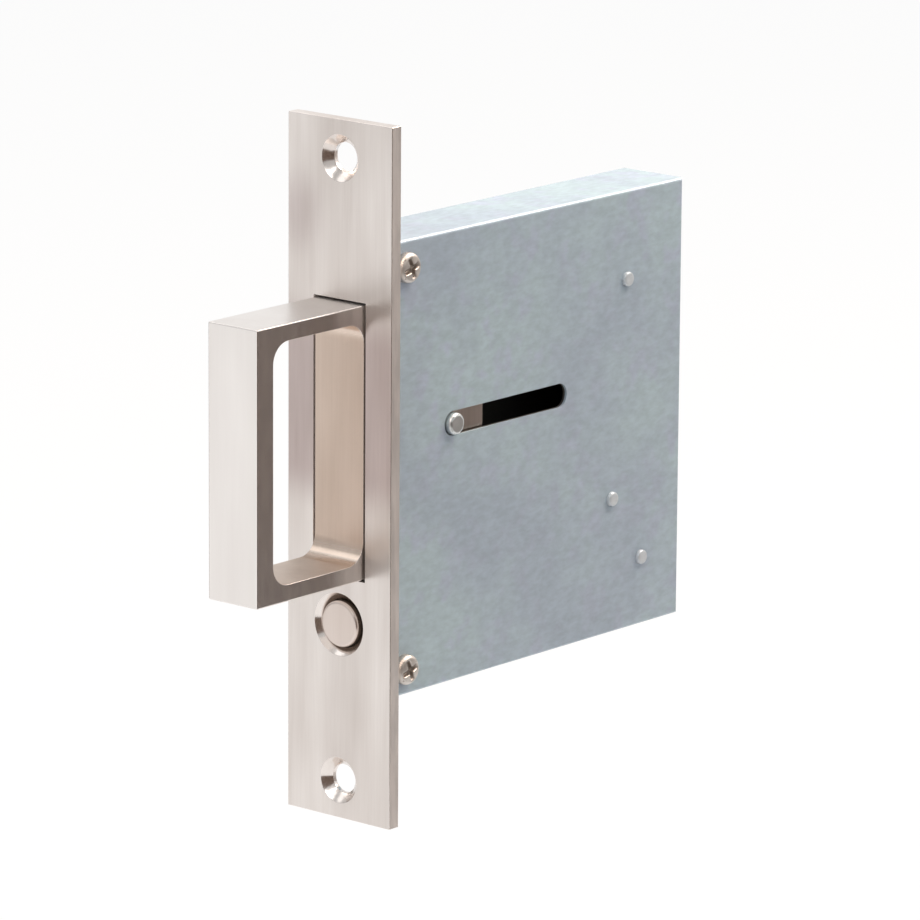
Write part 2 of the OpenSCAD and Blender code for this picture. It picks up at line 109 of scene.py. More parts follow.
# Wire and turns of the springs, the points in a turn and the sides of a wire
EJECTOR_WIRE = 0.8 * MM
EJECTOR_TURNS = 14
BUTTON_WIRE = 0.6 * MM
BUTTON_TURNS = 4
LATCH_WIRE = 0.8 * MM
LATCH_TURNS = 4
LATCH_PITCH = 0.92 * MM
LATCH_RADIUS = 3.6 * MM
PAWL_HUB = 4.5 * MM
TURN_STEPS = 32
WIRE_SIDES = 12

# Sockets of a Mix node that mixes colours: its two colours and its result
COLOUR_A = 6
COLOUR_B = 7
COLOUR_OUT = 2

# Largest part of the normal on a flat face along an axis, below which an edge begins
FLAT = 0.985

# Way of the brushing belt, a shade off Z so that level faces have one too
BELT_WAY = (0.02, 0.0, 1.0)


def linear(hex_colour):
    """The linear red, green and blue of an sRGB hex colour such as #d6cbc4."""
    parts = [int(hex_colour[i:i + 2], 16) / 255 for i in (1, 3, 5)]
    return tuple(p / 12.92 if p <= 0.04045 else ((p + 0.055) / 1.055) ** 2.4 for p in parts)


def opaque(colour):
    """A colour with full alpha."""
    return (*colour[:3], 1.0)


def add_node(tree, kind, inputs=None, **settings):
    """Adds a node with its settings, and fills inputs with values or with other nodes' outputs."""
    node = tree.nodes.new(kind)
    for name, value in settings.items():
        setattr(node, name, value)
    for name, value in (inputs or {}).items():
        if isinstance(value, bpy.types.NodeSocket):
            tree.links.new(value, node.inputs[name])
        else:
            node.inputs[name].default_value = value
    return node


def new_material(name):
    """An empty node material and its tree."""
    material = bpy.data.materials.new(name)
    material.use_nodes = True
    material.node_tree.nodes.clear()
    return material, material.node_tree


# Patterns that the materials share


def outward(tree, shape):
    """The size of the surface normal along X, Y and Z."""
    size = add_node(tree, "ShaderNodeVectorMath", {0: shape.outputs["Normal"]}, operation="ABSOLUTE")
    return add_node(tree, "ShaderNodeSeparateXYZ", {"Vector": size.outputs["Vector"]})


def largest(tree, vector):
    """The largest of a split vector's three parts."""
    pair = add_node(tree, "ShaderNodeMath", {0: vector.outputs["X"], 1: vector.outputs["Y"]},
                    operation="MAXIMUM")
    both = add_node(tree, "ShaderNodeMath", {0: pair.outputs["Value"], 1: vector.outputs["Z"]},
                    operation="MAXIMUM")
    return both.outputs["Value"]


def within(tree, coords, low, high):
    """One inside the box from low to high, and zero outside it."""
    middle = add_node(tree, "ShaderNodeVectorMath", {
        0: coords.outputs["Object"], 1: (low + high) / 2}, operation="SUBTRACT")
    share = add_node(tree, "ShaderNodeVectorMath", {
        0: middle.outputs["Vector"], 1: (high - low) / 2}, operation="DIVIDE")
    share = add_node(tree, "ShaderNodeVectorMath", {0: share.outputs["Vector"]}, operation="ABSOLUTE")
    parts = add_node(tree, "ShaderNodeSeparateXYZ", {"Vector": share.outputs["Vector"]})
    inside = add_node(tree, "ShaderNodeMath", {0: largest(tree, parts), 1: 1.0}, operation="LESS_THAN")
    return inside.outputs["Value"]


def streak_noise(tree, coords, width, length, place):
    """Noise drawn out along Z into streaks of a width and a length in metres, moved by place."""
    drawn = add_node(tree, "ShaderNodeMapping", {
        "Vector": coords.outputs["Object"], "Location": place, "Scale": (1 / width, 1 / width, 1 / length)})
    noise = add_node(tree, "ShaderNodeTexNoise", {
        "Vector": drawn.outputs["Vector"], "Scale": 1.0, "Detail": 2.0, "Roughness": 0.55})
    return noise.outputs["Fac"]


def belt_marks(tree, coords, place):
    """The finest marks of a brushing belt, and a tone from 0 to 1 of streaks 0.5, 2 and 14 mm wide.

    The belt's real marks are finer, but would not show.
    """
    fine = streak_noise(tree, coords, 0.5 * MM, 14 * MM, place)
    broad = streak_noise(tree, coords, 2 * MM, 34 * MM, place)
    clouds = streak_noise(tree, coords, 14 * MM, 45 * MM, place)
    mixed = add_node(tree, "ShaderNodeMix", {"Factor": 0.55, "A": fine, "B": broad})
    mixed = add_node(tree, "ShaderNodeMix", {"Factor": 0.7, "A": mixed.outputs[0], "B": clouds})
    tone = add_node(tree, "ShaderNodeMapRange", {
        "Value": mixed.outputs[0], "From Min": 0.36, "From Max": 0.64})
    return fine, tone.outputs["Result"]


def under_shade_spot(tree, coords, facing, tint, mark):
    """tint under one soft spot of painted shade on faces that look along Y.

    A spot has a middle, its half width and half height, the share of these that is full strength, its core,
    and the colour of its painted shade.
    """
    half_width, half_height = mark["half"]
    away = add_node(tree, "ShaderNodeVectorMath", {
        0: coords.outputs["Object"], 1: mark["middle"]}, operation="SUBTRACT")
    away = add_node(tree, "ShaderNodeVectorMath", {
        0: away.outputs["Vector"], 1: (1 / half_width, 0.0, 1 / half_height)}, operation="MULTIPLY")
    away = add_node(tree, "ShaderNodeVectorMath", {0: away.outputs["Vector"]}, operation="LENGTH")
    soft = add_node(tree, "ShaderNodeMapRange", {
        "Value": away.outputs["Value"], "From Min": mark["core"], "From Max": 1.0,
        "To Min": 1.0, "To Max": 0.0}, interpolation_type="SMOOTHSTEP")
    share = add_node(tree, "ShaderNodeMath", {0: soft.outputs["Result"], 1: facing.outputs["Y"]},
                     operation="MULTIPLY")
    # Painted shade: the spot's colour multiplies the tint
    shaded_tint = add_node(tree, "ShaderNodeMix", {
        "Factor": share.outputs["Value"], COLOUR_A: tint, COLOUR_B: opaque(mark["shade_tint"])},
        data_type="RGBA", blend_type="MULTIPLY")
    return shaded_tint.outputs[COLOUR_OUT]


def smudged(tree, coords, place, edgewise, tint):
    """tint with the smudges of handling, about 2 by 9 mm, where edgewise is one."""
    rubbed = streak_noise(tree, coords, 2.2 * MM, 9 * MM, place)
    level = add_node(tree, "ShaderNodeMapRange", {
        "Value": rubbed, "From Min": 0.35, "From Max": 0.65, "To Min": 0.9, "To Max": 1.05})
    level = add_node(tree, "ShaderNodeMix", {"Factor": edgewise, "A": 1.0, "B": level.outputs["Result"]})
    scaled = add_node(tree, "ShaderNodeVectorMath", {0: tint, "Scale": level.outputs[0]}, operation="SCALE")
    return scaled.outputs["Vector"]


def zoned(tree, coords, zone, tone, worn, tint, rough):
    """tint and rough with one box of the metal in a finish of its own, whose darker colour also paints
    shade.

    A zone has its box, the colour of its palest and its darkest streak, a roughness, and a polish at edges.
    """
    inside = within(tree, coords, *zone["box"])
    matt = add_node(tree, "ShaderNodeMix", {
        "Factor": tone, COLOUR_A: opaque(zone["dark"]), COLOUR_B: opaque(zone["colour"])}, data_type="RGBA")
    tint = add_node(tree, "ShaderNodeMix", {
        "Factor": inside, COLOUR_A: tint, COLOUR_B: matt.outputs[COLOUR_OUT]}, data_type="RGBA")
    sheen = add_node(tree, "ShaderNodeMix", {"Factor": worn, "A": zone["roughness"], "B": zone["polish"]})
    rough = add_node(tree, "ShaderNodeMix", {"Factor": inside, "A": rough, "B": sheen.outputs[0]})
    return tint.outputs[COLOUR_OUT], rough.outputs[0]


# Materials


def brushed_metal(name, colour, dark, gloss, side, polish, place, zones=(), marks=()):
    """A metal brushed with a belt along Z: streaks that vary in tone and gloss, and polished edges.

    colour and dark are the palest and the darkest streak, and gloss is their roughness. side is the
    roughness of faces that look along X, which handling has smudged, and polish that of edges and turned
    faces. place moves the pattern, zones are boxes with a finish of their own, some with painted shade, and
    marks are soft spots of painted shade and painted reflection.
    """
    material, tree = new_material(name)
    coords = add_node(tree, "ShaderNodeTexCoord")
    shape = add_node(tree, "ShaderNodeNewGeometry")
    facing = outward(tree, shape)
    fine, tone = belt_marks(tree, coords, place)
    edgewise = add_node(tree, "ShaderNodeMapRange", {
        "Value": facing.outputs["X"], "From Min": 0.94, "From Max": 0.98}).outputs["Result"]
    worn = add_node(tree, "ShaderNodeMapRange", {
        "Value": largest(tree, facing), "From Min": FLAT, "From Max": 0.9}).outputs["Result"]
    tint = add_node(tree, "ShaderNodeMix", {
        "Factor": tone, COLOUR_A: opaque(dark), COLOUR_B: opaque(colour)},
        data_type="RGBA").outputs[COLOUR_OUT]
    # Soft spots of painted shade and painted reflection
    for mark in marks:
        tint = under_shade_spot(tree, coords, facing, tint, mark)
    tint = smudged(tree, coords, place, edgewise, tint)
    rough = add_node(tree, "ShaderNodeMapRange", {"Value": tone, "To Min": gloss[1], "To Max": gloss[0]})
    rough = add_node(tree, "ShaderNodeMix", {"Factor": edgewise, "A": rough.outputs["Result"], "B": side})
    rough = add_node(tree, "ShaderNodeMix", {"Factor": worn, "A": rough.outputs[0], "B": polish}).outputs[0]
    for zone in zones:
        tint, rough = zoned(tree, coords, zone, tone, worn, tint, rough)
    flat = add_node(tree, "ShaderNodeMath", {0: 1.0, 1: worn}, operation="SUBTRACT")
    bump = add_node(tree, "ShaderNodeBump", {
        "Height": fine, "Strength": flat.outputs["Value"], "Distance": 0.003 * MM})
    across = add_node(tree, "ShaderNodeVectorMath", {0: shape.outputs["Normal"], 1: BELT_WAY},
                      operation="CROSS_PRODUCT")
    shader = add_node(tree, "ShaderNodeBsdfPrincipled", {
        "Base Color": tint, "Metallic": 1.0, "Roughness": rough,
        "Anisotropic": 0.6, "Normal": bump.outputs["Normal"], "Tangent": across.outputs["Vector"]})
    add_node(tree, "ShaderNodeOutputMaterial", {"Surface": shader.outputs["BSDF"]})
    return material


def zinc_coat(name, cool, green, violet):
    """Steel coated with zinc: matt blue-grey, mottled with greenish clouds and violet blots.

    The blots are about 5 mm wide in clouds of 28 mm, with a grit of 1.1 mm drawn out to 2.4 mm along Y, as
    the sheet was rolled. Folds and cut edges are rubbed bright, and inside the case it is painted dark, as
    painted shade and grease.
    """
    material, tree = new_material(name)
    coords = add_node(tree, "ShaderNodeTexCoord")
    facing = outward(tree, add_node(tree, "ShaderNodeNewGeometry"))
    clouds = add_node(tree, "ShaderNodeTexNoise", {
        "Vector": coords.outputs["Object"], "Scale": 1 / (28 * MM), "Detail": 4.0, "Roughness": 0.65})
    blots = add_node(tree, "ShaderNodeTexNoise", {
        "Vector": coords.outputs["Object"], "Scale": 1 / (5 * MM), "Detail": 2.0, "Roughness": 0.5})
    rolled = add_node(tree, "ShaderNodeMapping", {
        "Vector": coords.outputs["Object"], "Scale": (1 / (1.1 * MM), 1 / (2.4 * MM), 1 / (1.1 * MM))})
    speckle = add_node(tree, "ShaderNodeTexNoise", {
        "Vector": rolled.outputs["Vector"], "Scale": 1.0, "Detail": 2.0, "Roughness": 0.6})
    drift = add_node(tree, "ShaderNodeMapRange", {
        "Value": clouds.outputs["Fac"], "From Min": 0.4, "From Max": 0.6})
    tint = add_node(tree, "ShaderNodeMix", {
        "Factor": drift.outputs["Result"], COLOUR_A: opaque(cool), COLOUR_B: opaque(green)},
        data_type="RGBA")
    blot = add_node(tree, "ShaderNodeMapRange", {
        "Value": blots.outputs["Fac"], "From Min": 0.52, "From Max": 0.68})
    tint = add_node(tree, "ShaderNodeMix", {
        "Factor": blot.outputs["Result"], COLOUR_A: tint.outputs[COLOUR_OUT], COLOUR_B: opaque(violet)},
        data_type="RGBA")
    grit = add_node(tree, "ShaderNodeMapRange", {
        "Value": speckle.outputs["Fac"], "From Min": 0.3, "From Max": 0.7, "To Min": 0.92, "To Max": 1.08})
    haze = add_node(tree, "ShaderNodeMapRange", {
        "Value": clouds.outputs["Fac"], "From Min": 0.35, "From Max": 0.65, "To Min": 0.93, "To Max": 1.07})
    level = add_node(tree, "ShaderNodeMath", {0: grit.outputs["Result"], 1: haze.outputs["Result"]},
                     operation="MULTIPLY")
    tint = add_node(tree, "ShaderNodeVectorMath", {
        0: tint.outputs[COLOUR_OUT], "Scale": level.outputs["Value"]}, operation="SCALE")
    # Painted shade, with grease: the sheet is dark inside the case's hollow
    tint = add_node(tree, "ShaderNodeMix", {
        "Factor": within(tree, coords, *CASE_HOLLOW), COLOUR_A: tint.outputs["Vector"],
        COLOUR_B: opaque(linear("#4a4846"))}, data_type="RGBA")
    worn = add_node(tree, "ShaderNodeMapRange", {
        "Value": largest(tree, facing), "From Min": FLAT, "From Max": 0.85})
    rough = add_node(tree, "ShaderNodeMapRange", {
        "Value": worn.outputs["Result"], "To Min": 0.56, "To Max": 0.3})
    bump = add_node(tree, "ShaderNodeBump", {
        "Height": speckle.outputs["Fac"], "Strength": 0.3, "Distance": 0.02 * MM})
    shader = add_node(tree, "ShaderNodeBsdfPrincipled", {
        "Base Color": tint.outputs[COLOUR_OUT], "Metallic": 0.3, "Roughness": rough.outputs["Result"],
        "Normal": bump.outputs["Normal"]})
    add_node(tree, "ShaderNodeOutputMaterial", {"Surface": shader.outputs["BSDF"]})
    return material


def turned_metal(name, colour, dark, feed, roughness, groove, recesses=(), dirt_and_shade=(0.0, 0.0, 0.0)):
    """A metal turned, milled or drawn: marks at the feed's spacing, and a tarnish in blots of 6 mm.

    roughness is that of the smoothest and the roughest mark, groove is their depth, and recesses are boxes
    painted darker, as dirt and painted shade.
    """
    material, tree = new_material(name)
    coords = add_node(tree, "ShaderNodeTexCoord")
    rings = add_node(tree, "ShaderNodeTexNoise", {
        "Vector": coords.outputs["Object"], "Scale": 1 / feed, "Detail": 2.0, "Roughness": 0.5})
    tarnish = add_node(tree, "ShaderNodeTexNoise", {
        "Vector": coords.outputs["Object"], "Scale": 1 / (6 * MM), "Detail": 3.0})
    blot = add_node(tree, "ShaderNodeMapRange", {
        "Value": tarnish.outputs["Fac"], "From Min": 0.35, "From Max": 0.65})
    tint = add_node(tree, "ShaderNodeMix", {
        "Factor": blot.outputs["Result"], COLOUR_A: opaque(colour), COLOUR_B: opaque(dark)},
        data_type="RGBA")
    # Painted shade and dirt in the recesses
    for recess in recesses:
        tint = add_node(tree, "ShaderNodeMix", {
            "Factor": within(tree, coords, *recess), COLOUR_A: tint.outputs[COLOUR_OUT],
            COLOUR_B: opaque(dirt_and_shade)}, data_type="RGBA")
    gloss = add_node(tree, "ShaderNodeMapRange", {
        "Value": rings.outputs["Fac"], "From Min": 0.3, "From Max": 0.7,
        "To Min": roughness[0], "To Max": roughness[1]})
    bump = add_node(tree, "ShaderNodeBump", {
        "Height": rings.outputs["Fac"], "Strength": 0.5, "Distance": groove})
    shader = add_node(tree, "ShaderNodeBsdfPrincipled", {
        "Base Color": tint.outputs[COLOUR_OUT], "Metallic": 1.0, "Roughness": gloss.outputs["Result"],
        "Normal": bump.outputs["Normal"]})
    add_node(tree, "ShaderNodeOutputMaterial", {"Surface": shader.outputs["BSDF"]})
    return material


# Shapes


def add_mesh(name, points, groups, material):
    """A piece from its points and its groups of faces, shaded smooth, with its place in its mesh."""
    mesh = bpy.data.meshes.new(name)
    mesh.from_pydata(points, [], [face for group in groups for face in group.tolist()])
    mesh.polygons.foreach_set("use_smooth", np.ones(len(mesh.polygons), bool))
    mesh.materials.append(material)
    mesh.update()
    piece = bpy.data.objects.new(name, mesh)
    bpy.context.scene.collection.objects.link(piece)
    return piece


def closed_skin(rings, start, end):
    """Points and groups of faces of rings carried along a path, with a point that closes each end.

    The rings run anticlockwise about the way they advance, so that the faces point outwards.
    """
    count, sides = rings.shape[:2]
    points = np.concatenate([[start], rings.reshape(-1, 3), [end]])
    index = 1 + np.arange(count * sides).reshape(count, sides)
    ahead = np.roll(index, -1, axis=1)
    walls = np.stack([index[:-1], ahead[:-1], ahead[1:], index[1:]], axis=-1).reshape(-1, 4)
    first = np.stack([np.zeros(sides, int), ahead[0], index[0]], axis=-1)
    last = np.stack([np.full(sides, count * sides + 1), index[-1], ahead[-1]], axis=-1)
    return points, [walls, first, last]


def joined(skins):
    """Points and groups of faces of several skins as one."""
    starts = np.cumsum([0] + [len(points) for points, groups in skins])
    points = np.concatenate([points for points, groups in skins])
    return points, [group + start for (_, groups), start in zip(skins, starts) for group in groups]


def tube(path, radius, sides, axis):
    """A round wire: each ring is path + radius (cos a across + sin a over).

    across is square to the path and to axis, a direction that the path never follows, and over is square
    to both.
    """
    forward = np.gradient(path, axis=0)
    forward /= np.linalg.norm(forward, axis=1, keepdims=True)
    across = np.cross(forward, axis)
    across /= np.linalg.norm(across, axis=1, keepdims=True)
    over = np.cross(forward, across)
    angle = np.linspace(0, 2 * np.pi, sides, endpoint=False)[None, :, None]
    rings = path[:, None] + radius * (np.cos(angle) * across[:, None] + np.sin(angle) * over[:, None])
    return closed_skin(rings, path[0], path[-1])


def coil_line(low, high, wire, turns):
    """Centreline of a compression spring along Y between two seats, with its end turns closed.

    x = cx + R cos 2 pi u and z = cz + R sin 2 pi u for u from 0 to turns, and y climbs by one wire's
    width over the first and the last turn and evenly between them.
    """
    turn = np.linspace(0, turns, turns * TURN_STEPS + 1)
    radius = (high.x - low.x - wire) / 2
    first = low.y + wire / 2
    last = high.y - wire / 2
    rise = np.interp(turn, [0, 1, turns - 1, turns], [first, first + wire, last - wire, last])
    angle = 2 * np.pi * turn
    middle = (low + high) / 2
    return np.stack([middle.x + radius * np.cos(angle), rise, middle.z + radius * np.sin(angle)], axis=1)


def rounded_path(corners, reach, steps):
    """A polyline whose corners are rounded: within reach of a corner it follows a quadratic curve.

    Each curve is (1-t)^2 a + 2 t (1-t) corner + t^2 b, from a to b at that distance along its two legs.
    """
    corners = np.asarray(corners, float)
    legs = np.diff(corners, axis=0)
    legs /= np.linalg.norm(legs, axis=1, keepdims=True)
    middle = corners[1:-1, None]
    before = middle - reach * legs[:-1, None]
    after = middle + reach * legs[1:, None]
    t = np.linspace(0, 1, steps)[None, :, None]
    curves = (1 - t) ** 2 * before + 2 * t * (1 - t) * middle + t ** 2 * after
    return np.concatenate([corners[:1], curves.reshape(-1, 3), corners[-1:]])


def cross_recess(x, y, width, length, soft):
    """Depth share of a cross recess: one inside either arm of the cross, falling to zero over soft.

    The ends of the arms fall three times as gently.
    """
    def inside(distance, run):
        return np.clip(distance / run + 0.5, 0, 1)
    ends = 3 * soft
    along_x = inside(width / 2 - abs(y), soft) * inside(length / 2 - abs(x), ends)
    along_y = inside(width / 2 - abs(x), soft) * inside(length / 2 - abs(y), ends)
    return np.maximum(along_x, along_y)


def pan_screw(place, head_d, head_h, shank_d, length, turn):
    """A pan-head screw along X: rings of radius r at height h from the head's middle down to the tip.

    The face sags as r squared to a round shoulder, the recess is sunk into it, and the shank's radius
    follows a thread: r = shank - depth (1 + cos(2 pi h / pitch - a)) / 2.
    """
    head_r = head_d / 2
    shoulder = 0.45 * head_h
    sag = 0.1 * head_h
    recess_depth = 0.5 * head_h
    recess_w = head_d / 6
    recess_l = 0.6 * head_d
    recess_soft = 0.25 * MM
    pitch = 0.5 * MM
    thread_depth = 0.25 * MM
    tip = 0.8 * MM
    tip_share = 0.25
    face_rows, bend_rows, shank_rows, sides = 36, 8, 160, 72
    face_r = np.linspace(0.02, 1, face_rows) * (head_r - shoulder)
    face_h = head_h - sag * (face_r / face_r[-1]) ** 2
    bend = np.linspace(0, np.pi / 2, bend_rows + 1)[1:]
    bend_r = face_r[-1] + shoulder * np.sin(bend)
    bend_h = face_h[-1] - shoulder * (1 - np.cos(bend))
    shank_h = np.linspace(0, -length, shank_rows)
    taper = np.clip((shank_h + length) / tip, tip_share, 1)
    radius = np.concatenate([face_r, bend_r, [head_r], shank_d / 2 * taper])[:, None]
    height = np.concatenate([face_h, bend_h, [0.0], shank_h])[:, None]
    angle = -np.linspace(0, 2 * np.pi, sides, endpoint=False)[None]
    on_shank = height < 0
    radius = radius - on_shank * thread_depth * (1 + np.cos(2 * np.pi * height / pitch - angle)) / 2
    on_face = np.arange(len(height))[:, None] < face_rows
    sink = on_face * cross_recess(
        radius * np.cos(angle), radius * np.sin(angle), recess_w, recess_l, recess_soft)
    x = place.x + height - recess_depth * sink
    y = place.y + radius * np.cos(angle + turn)
    z = place.z + radius * np.sin(angle + turn)
    rings = np.stack(np.broadcast_arrays(x, y, z), axis=-1)
    start = (place.x + head_h - recess_depth, place.y, place.z)
    end = (place.x - length, place.y, place.z)
    return closed_skin(rings, start, end)


def dress(name, material, edge=0.0):
    """Gives a CAD node its finish; its loose triangles become whole faces with rounded edges, live."""
    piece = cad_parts[name]
    piece.material_slots[0].material = material
    if edge:
        piece.modifiers.new("join_triangles", "WELD").merge_threshold = WELD_GAP
        whole = piece.modifiers.new("whole_faces", "DECIMATE")
        whole.decimate_type = "DISSOLVE"
        whole.angle_limit = FLAT_ANGLE
        rounded = piece.modifiers.new("round_edges", "BEVEL")
        rounded.loop_slide = False
        rounded.width = edge
        rounded.segments = EDGE_STEPS
        rounded.limit_method = "ANGLE"
        rounded.angle_limit = EDGE_ANGLE
        rounded.use_clamp_overlap = True
        piece.modifiers.new("even_shading", "WEIGHTED_NORMAL")


def stand_for(piece, node, body):
    """A new piece takes the place of a CAD node and rides on its body."""
    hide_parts(node)
    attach(piece, body)


# Sizes and colours that a user would change


def colour_setting(name, description, default):
    """A colour that a user may change, with its default as a hex colour."""
    return bpy.props.FloatVectorProperty(
        name=name, description=description, subtype="COLOR", size=3, default=linear(default), min=0, max=1)


class EdgePullLooks(bpy.types.PropertyGroup):
    """Finishes of the edge pull."""
    nickel: colour_setting("Nickel", "Colour of the faceplate's satin nickel", "#f3ece7")
    nickel_dark: colour_setting("Nickel streaks", "Colour of the nickel's darker streaks", "#e0d7d1")
    pull_nickel: colour_setting("Pull", "Colour of the pull's nickel", "#f5f0ec")
    # The window's darker, warmer tone is partly painted shade and inter-reflection of the recess
    cast_nickel: colour_setting("Finger window", "Colour inside the finger window, left as cast", "#e8d6c8")
    zinc_cool: colour_setting("Zinc", "Colour of the galvanised sheet", "#adbdcc")
    zinc_green: colour_setting("Zinc clouds", "Colour of the sheet's greener clouds", "#acbfc8")
    zinc_violet: colour_setting("Zinc blots", "Colour of the sheet's violet blots", "#aebbcc")
    edge: bpy.props.FloatProperty(
        name="Edge", description="Rounding of the nickel pieces' edges", default=0.05 * MM, unit="LENGTH")
    pull_edge: bpy.props.FloatProperty(
        name="Pull edge", description="Rounding of the pull's edges", default=0.12 * MM, unit="LENGTH")
    sheet_edge: bpy.props.FloatProperty(
        name="Sheet edge", description="Rounding of the sheet's cut edges", default=0.35 * MM, unit="LENGTH")


class EdgePullStage(bpy.types.PropertyGroup):
    """Camera and light of the studio."""
    azimuth: bpy.props.FloatProperty(
        name="Azimuth", description="Turn of the camera about the part, from its front towards +X",
        default=math.radians(40.421), subtype="ANGLE")
    elevation: bpy.props.FloatProperty(
        name="Elevation", description="Height of the camera above level", default=math.radians(13.405),
        subtype="ANGLE")
    roll: bpy.props.FloatProperty(
        name="Roll", description="Turn of the camera about its view", default=math.radians(0.386),
        subtype="ANGLE")
    distance: bpy.props.FloatProperty(
        name="Distance", description="Distance of the camera from its aim", default=1.23831, unit="LENGTH")
    lens: bpy.props.FloatProperty(
        name="Lens", description="Focal length in millimetres", default=258.79, subtype="DISTANCE_CAMERA")
    overhead: bpy.props.FloatProperty(
        name="Overhead light", description="Power of the overhead softbox", default=14.0, unit="POWER")
    front: bpy.props.FloatProperty(
        name="Front light", description="Power of the softbox in front", default=3.0, unit="POWER")
    left: bpy.props.FloatProperty(
        name="Left light", description="Power of the softbox at the upper left", default=0.6, unit="POWER")
    world: bpy.props.FloatProperty(
        name="Room", description="Level of the room's even light", default=0.5, min=0, max=2)
    mirrored: bpy.props.FloatProperty(
        name="Mirrored room", description="Level of the room in front, where metal mirrors it",
        default=0.58, min=0, max=2)


def looks():
    """The finishes as they are set."""
    return bpy.context.scene.edge_pull_looks


# Finishes


def satin_nickel():
    """Satin nickel on a rolled plate, brushed lengthwise: warm grey, soft streaks, light spread sideways.

    It is darkened a little across the plate beside the pull by painted shade and a painted reflection of the
    pull, and near the upper left corner by painted shade.
    """
    # Painted shade and painted reflection of the pull, in a band across the plate
    pull_reflection_shade = {"middle": (0.0, 0.0, PULL_HIGH.z - 20 * MM), "half": (200 * MM, 21 * MM), "core": 0.55,
                   "shade_tint": linear("#e1d9da")}
    # Painted shade near the upper left corner
    corner_shade = {"middle": (PLATE_LOW.x + 2 * MM, 0.0, PLATE_HIGH.z - 18 * MM), "half": (9 * MM, 11 * MM),
                 "core": 0.1, "shade_tint": linear("#ebe7e8")}
    return brushed_metal(
        "brushed_satin_nickel", looks().nickel, looks().nickel_dark, gloss=(0.38, 0.44), side=0.66,
        polish=0.19, place=(0.0, 0.0, 0.0), marks=[pull_reflection_shade, corner_shade])


def button_nickel():
    """Satin nickel on a turned button: a little warmer than the plate, with painted shade of the gap, and
    some grime, down its side.
    """
    # Painted shade of the gap round the button, with grime, from a little behind the plate's face
    gap_shade_start = PLATE_LOW.y + 0.55 * MM
    gap_shade_and_grime = {"box": (Vector((BUTTON_LOW.x, gap_shade_start, BUTTON_LOW.z)), BUTTON_HIGH),
             "colour": linear("#84756a"), "dark": linear("#6a5c53"), "roughness": 0.5, "polish": 0.5}
    return brushed_metal(
        "brushed_button_nickel", linear("#e8dbd3"), linear("#dccec5"), gloss=(0.38, 0.44), side=0.3,
        polish=0.3, place=(0.3, 0.5, 0.1), zones=[gap_shade_and_grime])


def cast_nickel():
    """Satin nickel on a die casting: bright brushed outside, rougher, darker and warmer inside the finger
    window, where the colour is partly painted shade and painted warm inter-reflection of the recess.

    The window's floor is darker still with painted shade, and the block that slides in the case is darker
    with painted shade and grease. The window's box takes in the window's walls by a skin, and leaves out the
    loop's sides by as much.
    """
    skin = Vector((-0.05 * MM, 0.05 * MM, 0.05 * MM))
    low = Vector((PULL_LOW.x, PULL_LOW.y + FRONT_BAR, PULL_LOW.z + LOOP_ARM)) - skin
    high = Vector((PULL_HIGH.x, PLATE_LOW.y, PULL_HIGH.z - LOOP_ARM)) + skin
    corner = 1.5 * MM
    # Rougher cast finish, darker and warmer partly as painted shade and inter-reflection
    window = {"box": (low, high), "colour": looks().cast_nickel, "dark": linear("#d7c4b5"),
              "roughness": 0.46, "polish": 0.24}
    # Painted shade on the window's floor
    sill = {"box": (low, Vector((high.x, high.y - corner, low.z + corner))), "colour": linear("#dccec2"),
            "dark": linear("#cbbbaf"), "roughness": 0.46, "polish": 0.24}
    # Painted shade inside the case, with grease, on the block that slides there
    block_low = Vector((PULL_LOW.x - MM, PLATE_HIGH.y, PULL_LOW.z - MM))
    block = {"box": (block_low, PULL_HIGH + Vector((MM, MM, MM))), "colour": linear("#c9bcb4"),
             "dark": linear("#a3968d"), "roughness": 0.34, "polish": 0.2}
    return brushed_metal(
        "brushed_cast_nickel", looks().pull_nickel, linear("#eee8e4"), gloss=(0.3, 0.36), side=0.26,
        polish=0.16, place=(0.7, 0.2, 0.4), zones=[window, sill, block])


def hot_dip_zinc():
    """Hot-dip galvanised sheet: matt blue-grey and faintly mottled."""
    return zinc_coat("hot_dip_zinc", looks().zinc_cool, looks().zinc_green, looks().zinc_violet)


def highlit_post_zinc():
    """Zinc plate on the turned posts: the same mottle, more even than on the sheet, and paler as a painted
    highlight for the glints at their rims.
    """
    return zinc_coat("post_zinc_painted_highlight", linear("#ccd4db"), linear("#cad4d8"), linear("#c9d0da"))


def bright_steel():
    """Bright drawn steel, turned at its ends: pale and glossy, with faint tool marks."""
    name = "turned_bright_steel"
    return bpy.data.materials.get(name) or turned_metal(
        name, linear("#e9ebea"), linear("#d6d9d8"), feed=0.4 * MM, roughness=(0.3, 0.4), groove=0.003 * MM)


def plated_steel():
    """Zinc-plated steel, stamped and turned: a plain grey with a soft sheen."""
    return turned_metal(
        "zinc_plated_steel", linear("#aaaba8"), linear("#8f918f"), feed=0.5 * MM, roughness=(0.34, 0.46),
        groove=0.006 * MM)


def milled_brass():
    """Milled brass bar: yellow, with cutter marks that catch the light."""
    return turned_metal(
        "milled_brass", linear("#c2a263"), linear("#a98849"), feed=0.4 * MM, roughness=(0.28, 0.4),
        groove=0.006 * MM)


def spring_wire():
    """Drawn spring wire: dark grey and smooth, with a narrow highlight along it."""
    return turned_metal(
        "drawn_spring_wire", linear("#8b8d8f"), linear("#727476"), feed=0.3 * MM, roughness=(0.25, 0.36),
        groove=0.003 * MM)


def screw_nickel(recesses):
    """Nickel plate on a headed screw: pale and satin, with painted shade and dirt in its cross recess."""
    return turned_metal(
        "nickel_plated_screw", linear("#ddd7d1"), linear("#c7bfb8"), feed=0.5 * MM, roughness=(0.42, 0.5),
        groove=0.003 * MM, recesses=recesses, dirt_and_shade=linear("#a59b93"))


# Springs


